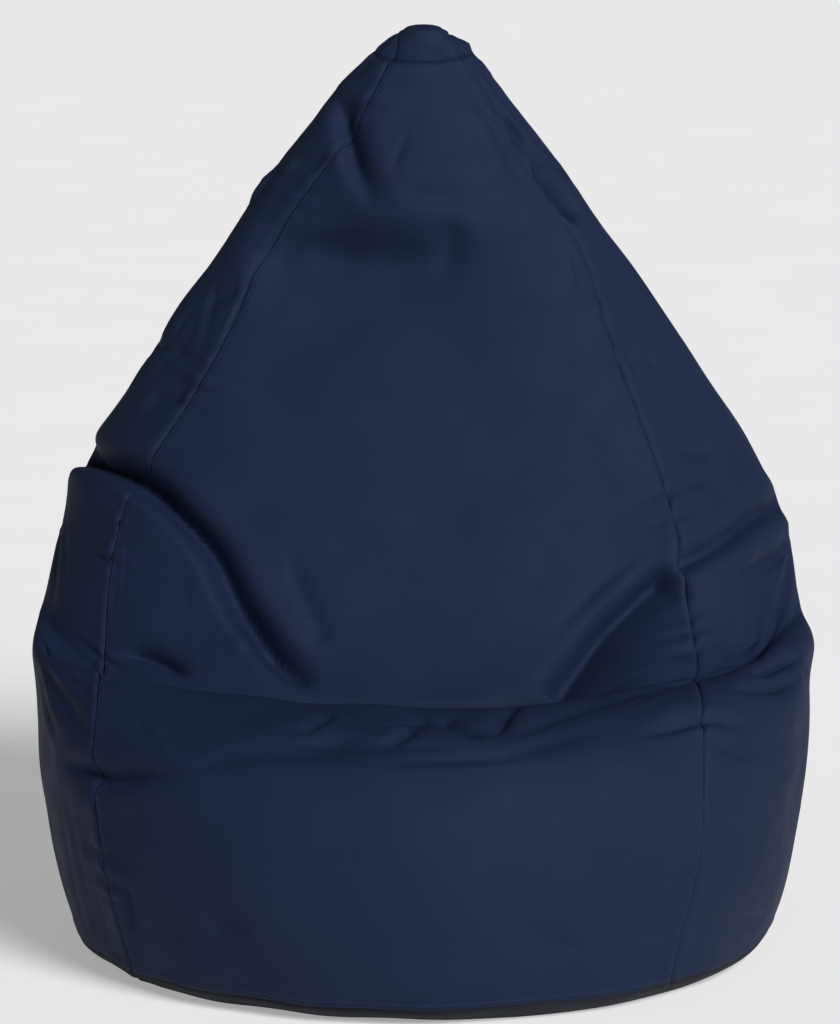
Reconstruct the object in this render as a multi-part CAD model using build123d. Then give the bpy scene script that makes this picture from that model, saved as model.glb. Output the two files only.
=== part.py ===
"""Bean bag chair: a zipped outer cover of sewn panels, a zipped inner liner and a loose bead filling.

The row frame has its origin at the middle of the base that rests on the floor.
+Z is up, -Y is the front, where the sitter's legs go, and +X is the sitter's left hand side
as seen by someone who faces the chair. All sizes are in millimetres.

The bag is one closed form that is lofted through rings. The liner and the filling are that form,
with its rings drawn inwards, so each lies inside the last with a gap all round.
The cover is cut into its panels along seams that are given as they look from the front.
"""

from build123d import *
import math
import os
from collections import namedtuple

# ---- the bag's outer form ----
# The back is an arc seen from the side, so that both zips lie on arcs about one axis.
BACK_REACH = 392.0
BACK_RADIUS = 560.0
BACK_ARC_Z = 250.0
BACK_ARC_Y = BACK_REACH - BACK_RADIUS

RING_POINTS = 24

# front and back are the (y, z) of the ring's foremost and rearmost points. arm is how far the arm
# rests stand forward of the ring's front, as a share of its depth.
Ring = namedtuple("Ring", "front back half_width arm")


def on_back_arc(z):
    """The (y, z) of the point of the back arc at height z."""
    return (BACK_ARC_Y + math.sqrt(BACK_RADIUS**2 - (z - BACK_ARC_Z) ** 2), z)


BASE_RINGS = [
    Ring((-320, 0), (320, 0), 322, 0.0),
    Ring((-350, 18), (344, 18), 342, 0.0),
    Ring((-371, 62), on_back_arc(62), 358, 0.0),
    Ring((-382, 125), on_back_arc(125), 370, 0.0),
    Ring((-374, 185), on_back_arc(190), 378, 0.0),
]
SEAT_RINGS = [
    Ring((-340, 238), on_back_arc(250), 382, 0.0),
    Ring((-270, 266), on_back_arc(300), 385, 0.0),
    Ring((-185, 262), on_back_arc(345), 382, 0.04),
    Ring((-110, 252), on_back_arc(390), 379, 0.08),
    Ring((-58, 292), on_back_arc(435), 371, 0.10),
]
BACKREST_RINGS = [
    Ring((-18, 360), (335, 492), 350, 0.09),
    Ring((16, 440), (311, 556), 308, 0.05),
    Ring((43, 520), (287, 620), 261, 0.02),
    Ring((66, 598), (263, 682), 214, 0.0),
    Ring((87, 674), (242, 741), 167, 0.0),
    Ring((106, 744), (225, 792), 123, 0.0),
    Ring((123, 804), (210, 832), 83, 0.0),
    Ring((136, 850), (197, 862), 48, 0.0),
    Ring((148, 872), (182, 877), 18, 0.0),
]

# ---- the nested layers, as depths below the outer form ----
COVER_THICKNESS = 1.5
LINER_DEPTH = 5.0
LINER_THICKNESS = 1.0
FILL_DEPTH = 7.0

# ---- where the cover is cut into pieces ----
BASE_SEAM_Z = 16.0
CAP_SEAM_Z = 852.0
REACH = 700.0
# The seams as (x, z) points, as they look from the front, each from the base to the top cap.
FRONT_LEFT_SEAM = [
    (-266, 0),
    (-292, 90),
    (-306, 200),
    (-304, 340),
    (-272, 450),
    (-205, 560),
    (-155, 670),
    (-90, 750),
    (-28, 852),
]
FRONT_RIGHT_SEAM = [
    (225, 0),
    (246, 90),
    (260, 200),
    (255, 330),
    (232, 450),
    (190, 560),
    (152, 665),
    (92, 755),
    (28, 852),
]
BACK_SEAM = [
    (235, 0),
    (255, 100),
    (265, 220),
    (262, 350),
    (235, 450),
    (190, 550),
    (140, 650),
    (85, 750),
    (28, 852),
]
# The (y, z) line inside the bag that parts its front from its back.
MIDDLE = [(0, -50), (0, 150), (60, 280), (130, 330), (160, 430), (165, 1000)]

# ---- the zips ----
# A zip's own frame is X across the chain, and radius and angle about the back arc's axis.
COVER_ZIP_RADIUS = BACK_RADIUS - COVER_THICKNESS / 2
LINER_ZIP_RADIUS = BACK_RADIUS - LINER_DEPTH - LINER_THICKNESS / 2
LINER_ZIP_TURN = -6.0
LINER_TURN_Y = 8.0
ZIP_BOTTOM = -17.0
ZIP_TOP = 17.0
TAPE_EDGE = 15.0
TAPE_HALF_THICKNESS = 0.4
COIL_INNER = 0.6
COIL_OUTER = 3.4
COIL_HALF_THICKNESS = 1.4
STOP_HALF_THICKNESS = 1.6
STOP_ANGLE = 0.4
PLATE_INNER = 1.8
PLATE_OUTER = 2.8
PLATE_CORNER_RADIUS = 2.5
SLIDER_HALF_WIDTH = 5.2
SLIDER_HALF_LENGTH = 7.5
FLANGE_INNER_X = 3.8
FLANGE_TIP = 0.85
FLANGE_SETBACK = 2.5
BRIDGE_HALF_WIDTH = 0.4
BRIDGE_LENGTH = 3.5
BRIDGE_SETBACK = 0.5
LUG_HALF_WIDTH = 1.0
LUG_RADIUS = 1.9
LUG_HOLE_RADIUS = 1.0
PULL_PIN_RADIUS = 0.9
PULL_AXIS = 4.6
PULL_ARM_INNER = 1.3
PULL_ARM_OUTER = 3.0
PULL_HALF_THICKNESS = 0.9
PULL_PLATE_TOP = -5.0
PULL_LENGTH = 27.0
PULL_HALF_WIDTH = 4.2
PULL_CORNER_RADIUS = 1.8
PULL_EYE_RADIUS = 1.6
PULL_EYE_FROM_TIP = 3.84
SLIDER_STOP_GAP = 1.125
SLIDER_REST = ZIP_TOP - STOP_ANGLE - math.degrees((SLIDER_HALF_LENGTH + SLIDER_STOP_GAP) / BACK_RADIUS)
WINDOW_DEPTH = 12.0
ZIP_CLEARANCE = 0.8


def drawn_in(profile, depth, inward):
    """The points of a profile that runs upwards, moved across it towards the inside by a depth."""
    moved = []
    for i, point in enumerate(profile):
        before = Vector(profile[max(i - 1, 0)])
        after = Vector(profile[min(i + 1, len(profile) - 1)])
        along = (after - before).normalized()
        moved.append((point[0] + inward * depth * along.Y, point[1] - inward * depth * along.X))
    return moved


def rings_at(depth):
    """The bag's rings, drawn in by a depth."""
    rings = BASE_RINGS + SEAT_RINGS + BACKREST_RINGS
    fronts = drawn_in([ring.front for ring in rings], depth, 1)
    backs = drawn_in([ring.back for ring in rings], depth, -1)
    middles = [(ring.half_width, (ring.front[1] + ring.back[1]) / 2) for ring in rings]
    sides = drawn_in(middles, depth, -1)
    return [
        Ring(front, back, side[0], ring.arm)
        for front, back, side, ring in zip(fronts, backs, sides, rings)
    ]


def ring_wire(ring):
    """The closed outline of one ring, an ellipse with its front lobes pulled forward."""
    (front_y, front_z), (back_y, back_z) = ring.front, ring.back
    points = []
    for i in range(RING_POINTS):
        turn = 2 * math.pi * i / RING_POINTS
        across = (1 - math.cos(turn)) / 2
        if math.cos(turn) > 0:
            across -= ring.arm * math.sin(2 * turn) ** 2
        points.append(
            (
                ring.half_width * math.sin(turn),
                front_y + across * (back_y - front_y),
                front_z + across * (back_z - front_z),
            )
        )
    return Wire([Spline(*points, periodic=True)])


def bag_form(depth=0.0):
    """The whole bag as one closed solid, from the floor to its tip, drawn in by a depth."""
    return Solid.make_loft([ring_wire(ring) for ring in rings_at(depth)])


def mirrored(seam):
    """The same seam on the other side of the bag."""
    return [(-x, z) for x, z in seam]


def between_seams(left, right):
    """Everything between two seams, as they look from the front, from the base to the top cap."""
    left_edge = Spline(*left)
    right_edge = Spline(*right)
    foot = Line(left_edge @ 0, right_edge @ 0)
    top = Line(left_edge @ 1, right_edge @ 1)
    outline = Plane.XZ * make_face([left_edge, right_edge, foot, top])
    return extrude(outline, amount=REACH, both=True)


def beyond_middle(back):
    """Everything behind the line that parts the bag's front from its back, or all before it."""
    edge = REACH if back else -REACH
    corners = [(edge, MIDDLE[0][1]), *MIDDLE, (edge, MIDDLE[-1][1])]
    outline = Plane.YZ * make_face(Polyline(*corners, close=True))
    return extrude(outline, amount=REACH, both=True)


def side_of(x_sign):
    """Everything on one side of the middle plane."""
    return Pos(x_sign * REACH, 0, REACH / 2) * Box(2 * REACH, 4 * REACH, 4 * REACH)


def slab(low, high):
    """Everything between two heights."""
    return Pos(0, 0, (low + high) / 2) * Box(4 * REACH, 4 * REACH, high - low)


def arc_bar(x_from, x_to, radius_from, radius_to, angle_from, angle_to):
    """A rectangular bar bent about the back arc's axis. Angles are above the horizontal."""
    section = Plane.XY * make_face(
        Polyline(
            (x_from, radius_from),
            (x_to, radius_from),
            (x_to, radius_to),
            (x_from, radius_to),
            close=True,
        )
    )
    bar = revolve(section, Axis.X, revolution_arc=angle_to - angle_from)
    return Rot(angle_from, 0, 0) * bar


def zip_window(radius, from_angle, to_angle):
    """The space that a zip takes out of the layer that it is sewn into."""
    inner, outer = radius - WINDOW_DEPTH / 2, radius + WINDOW_DEPTH / 2
    return arc_bar(-TAPE_EDGE, TAPE_EDGE, inner, outer, from_angle, to_angle)


def zip_tape(radius, side):
    """One woven tape, sewn to the edge of a panel along its outer side."""
    edges = sorted((side * COIL_OUTER, side * TAPE_EDGE))
    inner, outer = radius - TAPE_HALF_THICKNESS, radius + TAPE_HALF_THICKNESS
    return arc_bar(*edges, inner, outer, ZIP_BOTTOM, ZIP_TOP)


def zip_coil(radius, side):
    """One row of the zip's chain, between the stops."""
    edges = sorted((side * COIL_INNER, side * COIL_OUTER))
    inner, outer = radius - COIL_HALF_THICKNESS, radius + COIL_HALF_THICKNESS
    return arc_bar(*edges, inner, outer, ZIP_BOTTOM + STOP_ANGLE, ZIP_TOP - STOP_ANGLE)


def zip_top_stops(radius):
    """The two clips at the top of the chain, one on each row."""
    inner, outer = radius - STOP_HALF_THICKNESS, radius + STOP_HALF_THICKNESS
    clips = []
    for side in (-1, 1):
        edges = sorted((side * COIL_INNER, side * COIL_OUTER))
        clips.append(arc_bar(*edges, inner, outer, ZIP_TOP - STOP_ANGLE, ZIP_TOP))
    return Compound(children=clips)


def zip_bottom_stop(radius):
    """The clip that joins both rows at the foot of the chain."""
    inner, outer = radius - STOP_HALF_THICKNESS, radius + STOP_HALF_THICKNESS
    return arc_bar(-COIL_OUTER, COIL_OUTER, inner, outer, ZIP_BOTTOM, ZIP_BOTTOM + STOP_ANGLE)


def zip_slider(with_lug):
    """A slider about its own centre: X across, Y outward, Z up the chain."""
    length = 2 * SLIDER_HALF_LENGTH
    plate_thickness = PLATE_OUTER - PLATE_INNER
    plate_middle = (PLATE_OUTER + PLATE_INNER) / 2
    plate = Box(2 * SLIDER_HALF_WIDTH, plate_thickness, length)
    plate = fillet(plate.edges().filter_by(Axis.Y), PLATE_CORNER_RADIUS)
    flange = Box(
        SLIDER_HALF_WIDTH - FLANGE_INNER_X, PLATE_INNER - FLANGE_TIP, length - 2 * FLANGE_SETBACK
    )
    flange_x = (SLIDER_HALF_WIDTH + FLANGE_INNER_X) / 2
    flange_y = (PLATE_INNER + FLANGE_TIP) / 2
    bridge = Box(2 * BRIDGE_HALF_WIDTH, 2 * PLATE_OUTER, BRIDGE_LENGTH)
    body = Pos(0, 0, SLIDER_HALF_LENGTH - BRIDGE_LENGTH / 2 - BRIDGE_SETBACK) * bridge
    for face in (-1, 1):
        body += Pos(0, face * plate_middle, 0) * plate
        for side in (-1, 1):
            body += Pos(side * flange_x, face * flange_y, 0) * flange
    if with_lug:
        lug = Pos(0, PULL_AXIS, 0) * Rot(0, 90, 0) * Cylinder(LUG_RADIUS, 2 * LUG_HALF_WIDTH)
        foot_height = PULL_AXIS - PLATE_OUTER
        lug += Pos(0, PLATE_OUTER + foot_height / 2, 0) * Box(
            2 * LUG_HALF_WIDTH, foot_height, 2 * LUG_RADIUS
        )
        lug -= Pos(0, PULL_AXIS, 0) * Rot(0, 90, 0) * Cylinder(LUG_HOLE_RADIUS, 4 * LUG_HALF_WIDTH)
        body += lug
    return body


def zip_pull():
    """The tab that hangs from the slider's lug, in the slider's own frame."""
    pin = Rot(0, 90, 0) * Cylinder(PULL_PIN_RADIUS, 2 * PULL_ARM_OUTER)
    arm_width = PULL_ARM_OUTER - PULL_ARM_INNER
    arm_height = PULL_PIN_RADIUS - PULL_PLATE_TOP
    pull = pin
    for side in (-1, 1):
        pull += Pos(
            side * (PULL_ARM_INNER + arm_width / 2), 0, PULL_PIN_RADIUS - arm_height / 2
        ) * Box(arm_width, 2 * PULL_HALF_THICKNESS, arm_height)
    plate_height = PULL_LENGTH + PULL_PLATE_TOP
    plate = Box(2 * PULL_HALF_WIDTH, 2 * PULL_HALF_THICKNESS, plate_height)
    plate = fillet(plate.edges().filter_by(Axis.Y), PULL_CORNER_RADIUS)
    pull += Pos(0, 0, PULL_PLATE_TOP - plate_height / 2) * plate
    eye = Rot(90, 0, 0) * Cylinder(PULL_EYE_RADIUS, 4 * PULL_HALF_THICKNESS)
    pull -= Pos(0, 0, PULL_EYE_FROM_TIP - PULL_LENGTH) * eye
    return Pos(0, PULL_AXIS, 0) * pull


def on_chain(piece, radius, angle):
    """Carries a piece from its own frame to a place on the chain."""
    return Rot(angle, 0, 0) * Pos(0, radius, 0) * piece


def on_back(piece, turn=0.0):
    """Carries a zip's frame to the back of the bag, turned about a vertical line inside it."""
    placed = Pos(0, BACK_ARC_Y, BACK_ARC_Z) * piece
    return Pos(0, LINER_TURN_Y, 0) * Rot(0, 0, turn) * Pos(0, -LINER_TURN_Y, 0) * placed


def zip_parts(prefix, radius, with_pull, turn=0.0):
    """Every piece of one zip, by node name."""
    pieces = {
        "tape_left": zip_tape(radius, -1),
        "tape_right": zip_tape(radius, 1),
        "coil_left": zip_coil(radius, -1),
        "coil_right": zip_coil(radius, 1),
        "top_stops": zip_top_stops(radius),
        "bottom_stop": zip_bottom_stop(radius),
        "slider": on_chain(zip_slider(with_pull), radius, SLIDER_REST),
    }
    if with_pull:
        pieces["pull"] = on_chain(zip_pull(), radius, SLIDER_REST)
    return {f"{prefix}_zip_{name}": on_back(piece, turn) for name, piece in pieces.items()}


def cover_parts():
    """The cover's base, panels and top cap, with the gap that its zip fills."""
    shell = bag_form() - bag_form(COVER_THICKNESS)
    window = on_back(zip_window(COVER_ZIP_RADIUS, ZIP_BOTTOM, ZIP_TOP))
    body = shell & slab(BASE_SEAM_Z, CAP_SEAM_Z)
    front = between_seams(FRONT_LEFT_SEAM, FRONT_RIGHT_SEAM) & beyond_middle(back=False)
    back = between_seams(mirrored(BACK_SEAM), BACK_SEAM) & beyond_middle(back=True)
    sides = body - front - back
    backs = (body & back) - window
    return {
        "base_panel": shell & slab(-REACH, BASE_SEAM_Z),
        "front_panel": body & front,
        "left_side_panel": sides & side_of(-1),
        "right_side_panel": sides & side_of(1),
        "back_left_panel": backs & side_of(-1),
        "back_right_panel": backs & side_of(1),
        "top_cap": shell & slab(CAP_SEAM_Z, 2 * REACH),
    }


def liner_parts():
    """The inner bag as two halves, with the gap that its own zip fills."""
    shell = bag_form(LINER_DEPTH) - bag_form(LINER_DEPTH + LINER_THICKNESS)
    shell -= on_back(zip_window(LINER_ZIP_RADIUS, ZIP_BOTTOM, ZIP_TOP), LINER_ZIP_TURN)
    turn = Pos(0, LINER_TURN_Y, 0) * Rot(0, 0, LINER_ZIP_TURN)
    return {"liner_left": shell & (turn * side_of(-1)), "liner_right": shell & (turn * side_of(1))}


def bead_filling():
    """The beads as one body, with a groove that clears the liner's zip."""
    groove = arc_bar(
        -TAPE_EDGE - ZIP_CLEARANCE,
        TAPE_EDGE + ZIP_CLEARANCE,
        LINER_ZIP_RADIUS - PLATE_OUTER - ZIP_CLEARANCE,
        BACK_RADIUS + WINDOW_DEPTH,
        ZIP_BOTTOM - STOP_ANGLE,
        ZIP_TOP + STOP_ANGLE,
    )
    return bag_form(FILL_DEPTH) - on_back(groove, LINER_ZIP_TURN)


def bean_bag():
    """Every node of the chair, by name."""
    parts = cover_parts()
    parts.update(zip_parts("cover", COVER_ZIP_RADIUS, with_pull=True))
    parts.update(liner_parts())
    parts.update(zip_parts("liner", LINER_ZIP_RADIUS, with_pull=False, turn=LINER_ZIP_TURN))
    parts["bead_filling"] = bead_filling()
    return parts


os.makedirs("parts", exist_ok=True)
for node, shape in bean_bag().items():
    export_step(shape, f"parts/{node}.step")
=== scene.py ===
"""The looks of the bean bag chair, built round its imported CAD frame.

The cover is one surface, a grid of rows that climb the bag and columns that go round it. It is bent by
folds and puckers, then cut along its seams into sewn panels with real thickness.
"""
import math
from collections import namedtuple

import bpy
import numpy as np
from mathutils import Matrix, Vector


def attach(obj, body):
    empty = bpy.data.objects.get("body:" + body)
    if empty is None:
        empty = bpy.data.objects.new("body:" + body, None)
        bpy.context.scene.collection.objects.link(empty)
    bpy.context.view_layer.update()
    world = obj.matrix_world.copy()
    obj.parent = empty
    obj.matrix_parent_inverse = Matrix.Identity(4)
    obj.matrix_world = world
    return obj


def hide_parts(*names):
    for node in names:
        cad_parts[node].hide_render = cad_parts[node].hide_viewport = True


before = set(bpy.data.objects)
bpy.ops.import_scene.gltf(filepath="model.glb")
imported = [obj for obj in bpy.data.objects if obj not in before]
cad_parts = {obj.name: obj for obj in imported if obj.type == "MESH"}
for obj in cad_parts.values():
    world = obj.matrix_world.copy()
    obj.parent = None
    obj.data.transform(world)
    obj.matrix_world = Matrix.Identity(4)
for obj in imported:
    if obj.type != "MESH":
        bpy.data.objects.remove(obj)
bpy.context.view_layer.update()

MM = 0.001

# ---- the bag's form, the same rings as the CAD model's, in millimetres ----
BACK_RADIUS = 560.0
BACK_ARC_Y = 392.0 - BACK_RADIUS
BACK_ARC_Z = 250.0


def on_back_arc(z):
    """The (y, z) of the point of the back arc at height z."""
    return (BACK_ARC_Y + math.sqrt(BACK_RADIUS**2 - (z - BACK_ARC_Z) ** 2), z)


# Each ring: the (y, z) of its foremost and its rearmost point, its half width and its arm share.
RINGS = [
    ((-320, 0), (320, 0), 322, 0.0),
    ((-350, 18), (344, 18), 342, 0.0),
    ((-371, 62), on_back_arc(62), 358, 0.0),
    ((-382, 125), on_back_arc(125), 370, 0.0),
    ((-374, 185), on_back_arc(190), 378, 0.0),
    ((-340, 238), on_back_arc(250), 382, 0.0),
    ((-270, 266), on_back_arc(300), 385, 0.0),
    ((-185, 262), on_back_arc(345), 382, 0.04),
    ((-110, 252), on_back_arc(390), 379, 0.08),
    ((-58, 292), on_back_arc(435), 371, 0.10),
    ((-18, 360), (335, 492), 350, 0.09),
    ((16, 440), (311, 556), 308, 0.05),
    ((43, 520), (287, 620), 261, 0.02),
    ((66, 598), (263, 682), 214, 0.0),
    ((87, 674), (242, 741), 167, 0.0),
    ((106, 744), (225, 792), 123, 0.0),
    ((123, 804), (210, 832), 83, 0.0),
    ((136, 850), (197, 862), 48, 0.0),
    ((148, 872), (182, 877), 18, 0.0),
]
BASE_SEAM_Z = 16.0
CAP_SEAM_Z = 852.0
# The seams as (z, x) points, as they look from the front.
FRONT_LEFT_SEAM = [
    (0, -266), (90, -292), (200, -306), (340, -304), (450, -272), (560, -205), (670, -155), (750, -90),
    (880, -20),
]
FRONT_RIGHT_SEAM = [
    (0, 225), (90, 246), (200, 260), (330, 255), (450, 232), (560, 190), (665, 152), (755, 92), (880, 20),
]
BACK_SEAM = [
    (0, 235), (100, 255), (220, 265), (350, 262), (450, 235), (550, 190), (650, 140), (750, 85), (880, 20),
]

# ---- the grid ----
ROWS = 280
BASE_ROWS = 14
TIP_ROWS = 6
TIP_HEIGHT = 0.004
SEAT_CREASE_RING = 8
SEAT_CREASE_REACH = 0.045
COLUMNS = {
    "front_panel": 150,
    "right_side_panel": 116,
    "back_right_panel": 60,
    "back_left_panel": 60,
    "left_side_panel": 116,
}
MIDDLE_COLUMN = COLUMNS["front_panel"] // 2
SEAM_CROWDING = 0.6
CLOTH = 0.0013
FOLD_STEP = 0.006

# ---- the nested layers and the zips, as in the CAD model ----
LINER_DEPTH = 0.0050
LINER_CLOTH = 0.0008
FILL_DEPTH = 0.0075
ZIP_BOTTOM = -17.0
ZIP_TOP = 17.0
ZIP_HALF_HEIGHT = BACK_RADIUS * MM * math.sin(math.radians(ZIP_TOP))
STOP_ANGLE = 0.4
COVER_ZIP_RADIUS = BACK_RADIUS - 0.75
LINER_ZIP_RADIUS = BACK_RADIUS - 5.5
LINER_ZIP_TURN = -6.0
LINER_TURN_Y = 8.0
TAPE_INNER = 3.4
TAPE_EDGE = 15.0
COIL_MIDDLE = 1.75
COIL_HALF_WIDTH = 1.45
COIL_HALF_HEIGHT = 0.95
COIL_WIRE = 0.42
CORE_HALF_WIDTH = 1.1
CORE_HALF_HEIGHT = 0.5
COIL_PITCH = 2.0
HEM_EDGE = 8.5
HEM_RISE = 0.0018
LINER_HEM_EDGE = 16.0
LINER_COLUMNS = 180

# ---- the seams' relief ----
SEAM_DEPTH = 0.0014
SEAM_WIDTH = 0.0021
ALLOWANCE_HEIGHT = 0.0008
PUCKER_HEIGHT = 0.0014
PUCKER_REACH = 0.022
PUCKER_START = 0.004
ALLOWANCE_MIDDLE = 0.008
ALLOWANCE_SPREAD = 0.006
SEAM_SEED = 7
RELIEF_FADE_ROWS = 6


def smooth_through(knots, values, at):
    """Values on the natural cubic spline through some values at some knots."""
    knots = np.asarray(knots, float)
    values = np.asarray(values, float)
    gaps = np.diff(knots)
    size = len(knots)
    system = np.eye(size)
    bends = np.zeros(values.shape)
    for i in range(1, size - 1):
        system[i, i - 1 : i + 2] = gaps[i - 1], 2 * (gaps[i - 1] + gaps[i]), gaps[i]
        slope_in = (values[i] - values[i - 1]) / gaps[i - 1]
        slope_out = (values[i + 1] - values[i]) / gaps[i]
        bends[i] = 6 * (slope_out - slope_in)
    bends = np.linalg.solve(system, bends)
    at = np.asarray(at, float)
    i = np.clip(np.searchsorted(knots, at) - 1, 0, size - 2)
    gap = gaps[i]
    left = (knots[i + 1] - at) / gap
    right = (at - knots[i]) / gap
    if values.ndim > 1:
        gap, left, right = gap[:, None], left[:, None], right[:, None]
    curve = (left**3 - left) * bends[i] + (right**3 - right) * bends[i + 1]
    return left * values[i] + right * values[i + 1] + curve * gap**2 / 6


def smoothstep(share):
    """A share from 0 to 1 with a soft start and a soft end."""
    share = np.clip(share, 0, 1)
    return share * share * (3 - 2 * share)


def walked(path):
    """The distance walked along a path at each of its points."""
    return np.concatenate([[0], np.cumsum(np.linalg.norm(np.diff(path, axis=0), axis=1))])


def read_at(place, knots, values):
    """Vectors given at some knots, read at a place between them."""
    return np.array([np.interp(place, knots, values[:, k]) for k in range(3)])


def path_through(line, steps):
    """A smooth path in metres through a line of (x, y, z) points in millimetres."""
    line = np.asarray(line, float) * MM
    knots = walked(line)
    return smooth_through(knots, line, np.linspace(0, knots[-1], steps))


def eased(count):
    """Fractions from 0 to 1 that crowd together at both ends, where a panel's seams are."""
    even = np.linspace(0, 1, count + 1)
    return even - SEAM_CROWDING * np.sin(2 * np.pi * even) / (2 * np.pi)


def ring_points(ring, turns):
    """Points of one ring (front y, z, back y, z, half width, arm) at some turns from the front."""
    front_y, front_z, back_y, back_z, half_width, arm = ring
    across = (1 - np.cos(turns)) / 2
    across = across - np.where(np.cos(turns) > 0, arm * np.sin(2 * turns) ** 2, 0)
    y = front_y + across * (back_y - front_y)
    z = front_z + across * (back_z - front_z)
    return np.stack([half_width * np.sin(turns), y, z], axis=-1) * MM


def first_crossing(ring, turns, seam):
    """The turn at which a ring meets a seam, looking along the turns in order."""
    points = ring_points(ring, turns) / MM
    seam_x = smooth_through(*zip(*seam), points[:, 2])
    beyond = np.abs(points[:, 0]) - np.abs(seam_x)
    crossing = np.argmax(beyond > 0)
    if beyond[crossing] <= 0:
        return turns[-1]
    if crossing == 0:
        return turns[0]
    share = beyond[crossing - 1] / (beyond[crossing - 1] - beyond[crossing])
    return turns[crossing - 1] + share * (turns[crossing] - turns[crossing - 1])


def bag_rows():
    """The rings at every row of the grid, evenly spaced up the front and closer at the seat crease."""
    table = np.array([[*front, *back, half_width, arm] for front, back, half_width, arm in RINGS])
    knots = walked(table[:, :2] * MM)
    fine = np.linspace(0, knots[-1], 4000)
    nearness = (fine - knots[SEAT_CREASE_RING]) / SEAT_CREASE_REACH
    density = 1 + 1.5 * np.exp(-(nearness**2))
    total = np.concatenate([[0], np.cumsum((density[1:] + density[:-1]) / 2)])
    heights = np.interp(np.linspace(0, total[-1], ROWS), total, fine)
    return smooth_through(knots, table, heights)


def bag_grid():
    """(points, column of each seam by panel name) for the smooth bag, before any fold."""
    rows = bag_rows()
    right_way = np.radians(np.linspace(5, 100, 400))
    back_way = np.radians(np.linspace(175, 95, 400))
    points = []
    for ring in rows:
        front_left = first_crossing(ring, -right_way, FRONT_LEFT_SEAM)
        front_right = first_crossing(ring, right_way, FRONT_RIGHT_SEAM)
        back_right = first_crossing(ring, back_way, BACK_SEAM)
        seams = [front_left, front_right, back_right, np.pi, 2 * np.pi - back_right, 2 * np.pi + front_left]
        turns = [
            start + (end - start) * eased(count)[:-1]
            for start, end, count in zip(seams, seams[1:], COLUMNS.values())
        ]
        points.append(ring_points(ring, np.concatenate(turns)))
    starts = np.concatenate([[0], np.cumsum(list(COLUMNS.values()))])
    spans = {name: (starts[i], starts[i + 1]) for i, name in enumerate(COLUMNS)}
    points = np.array(points)
    under = [points[0] * share for share in np.linspace(0.004, 1, BASE_ROWS, endpoint=False)]
    tip = points[-1].mean(axis=0)
    over = []
    for i in range(1, TIP_ROWS + 1):
        slope = 0.5 * np.pi * i / TIP_ROWS
        row = tip + (points[-1] - tip) * max(math.cos(slope), 0.02)
        row[:, 2] += TIP_HEIGHT * math.sin(slope)
        over.append(row)
    return np.concatenate([under, points, over]), spans


def unit(vectors):
    """Vectors scaled to length 1."""
    return vectors / np.maximum(np.linalg.norm(vectors, axis=-1, keepdims=True), 1e-12)


def grid_normals(points):
    """Outward normals of a grid that closes round its columns."""
    around = np.roll(points, -1, axis=1) - np.roll(points, 1, axis=1)
    up = np.gradient(points, axis=0)
    return unit(np.cross(around, up))


def smoothed(field, times):
    """A grid of vectors of length 1, each averaged with its neighbours some times."""
    for _ in range(times):
        field = field + np.roll(field, 1, axis=1) + np.roll(field, -1, axis=1)
        field[1:-1] = field[1:-1] + field[:-2] + field[2:]
        field = unit(field)
    return field


# ---- folds ----
def nearest_on_path(found, path):
    """For points near a path: distance to it, the way from it, and the share of the path's length there."""
    best = np.full(len(found), np.inf)
    away = np.zeros((len(found), 3))
    share = np.zeros(len(found))
    ways = np.diff(path, axis=0)
    for i, (start, way) in enumerate(zip(path, ways)):
        t = np.clip((found - start) @ way / (way @ way), 0, 1)
        gap = found - (start + t[:, None] * way)
        distance = np.linalg.norm(gap, axis=1)
        closer = distance < best
        best[closer] = distance[closer]
        away[closer] = gap[closer]
        share[closer] = (i + t[closer]) / len(ways)
    return best, away, share


# A fold's line runs through (x, y, z) points in millimetres, as do its other sizes. widths and lips are
# for the side on the left of the line, seen from outside as it runs, and for its right. Past the fold each
# side rises by its lip. ends are the shares of the line over which the fold fades in and out. A fold of
# depth below 0 is a ridge.
Stroke = namedtuple(
    "Stroke", "line depth widths lips ends sharp power", defaults=((0, 0), (0.4, 0.4), 3, 1.0)
)


def fold(points, out, stroke):
    """Presses one fold into the grid against its ways out."""
    widths = np.array(stroke.widths) * MM
    lips = np.array(stroke.lips) * MM
    sharp = stroke.sharp * MM
    line = np.asarray(stroke.line, float) * MM
    steps = max(12, int(walked(line)[-1] / FOLD_STEP))
    path = path_through(stroke.line, steps)
    flat_points = points.reshape(-1, 3)
    flat_normals = out.reshape(-1, 3)
    reach = max(5 * max(widths), 0.03)
    near = ((flat_points > path.min(0) - reach) & (flat_points < path.max(0) + reach)).all(axis=1)
    near = np.flatnonzero(near)
    found = flat_points[near]
    found_normals = flat_normals[near]
    path_normals = np.empty_like(path)
    for i, place in enumerate(path):
        nearest = np.argmin(((found - place) ** 2).sum(axis=1))
        path_normals[i] = found_normals[nearest]
        path[i] -= path_normals[i] * np.dot(place - found[nearest], path_normals[i])
    along = unit(np.gradient(path, axis=0))
    best, away, share = nearest_on_path(found, path)
    place = np.minimum((share * (steps - 1)).astype(int), steps - 1)
    is_left = (away * np.cross(path_normals, along)[place]).sum(axis=1) > 0
    width = np.where(is_left, *widths)
    lip = np.where(is_left, *lips)
    facing = (found_normals * path_normals[place]).sum(axis=1)
    strength = smoothstep(share / stroke.ends[0]) * smoothstep((1 - share) / stroke.ends[1])
    strength = strength * np.clip(facing * 3, 0, 1)
    soft = np.sqrt(best**2 + sharp**2) - sharp
    hollow = stroke.depth * MM * np.exp(-((soft / width) ** stroke.power))
    crest = best / (1.7 * width)
    rise = lip * crest * np.exp(1 - crest)
    moved = flat_points.copy()
    moved[near] += ((rise - hollow) * strength)[:, None] * found_normals
    return moved.reshape(points.shape)


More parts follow.
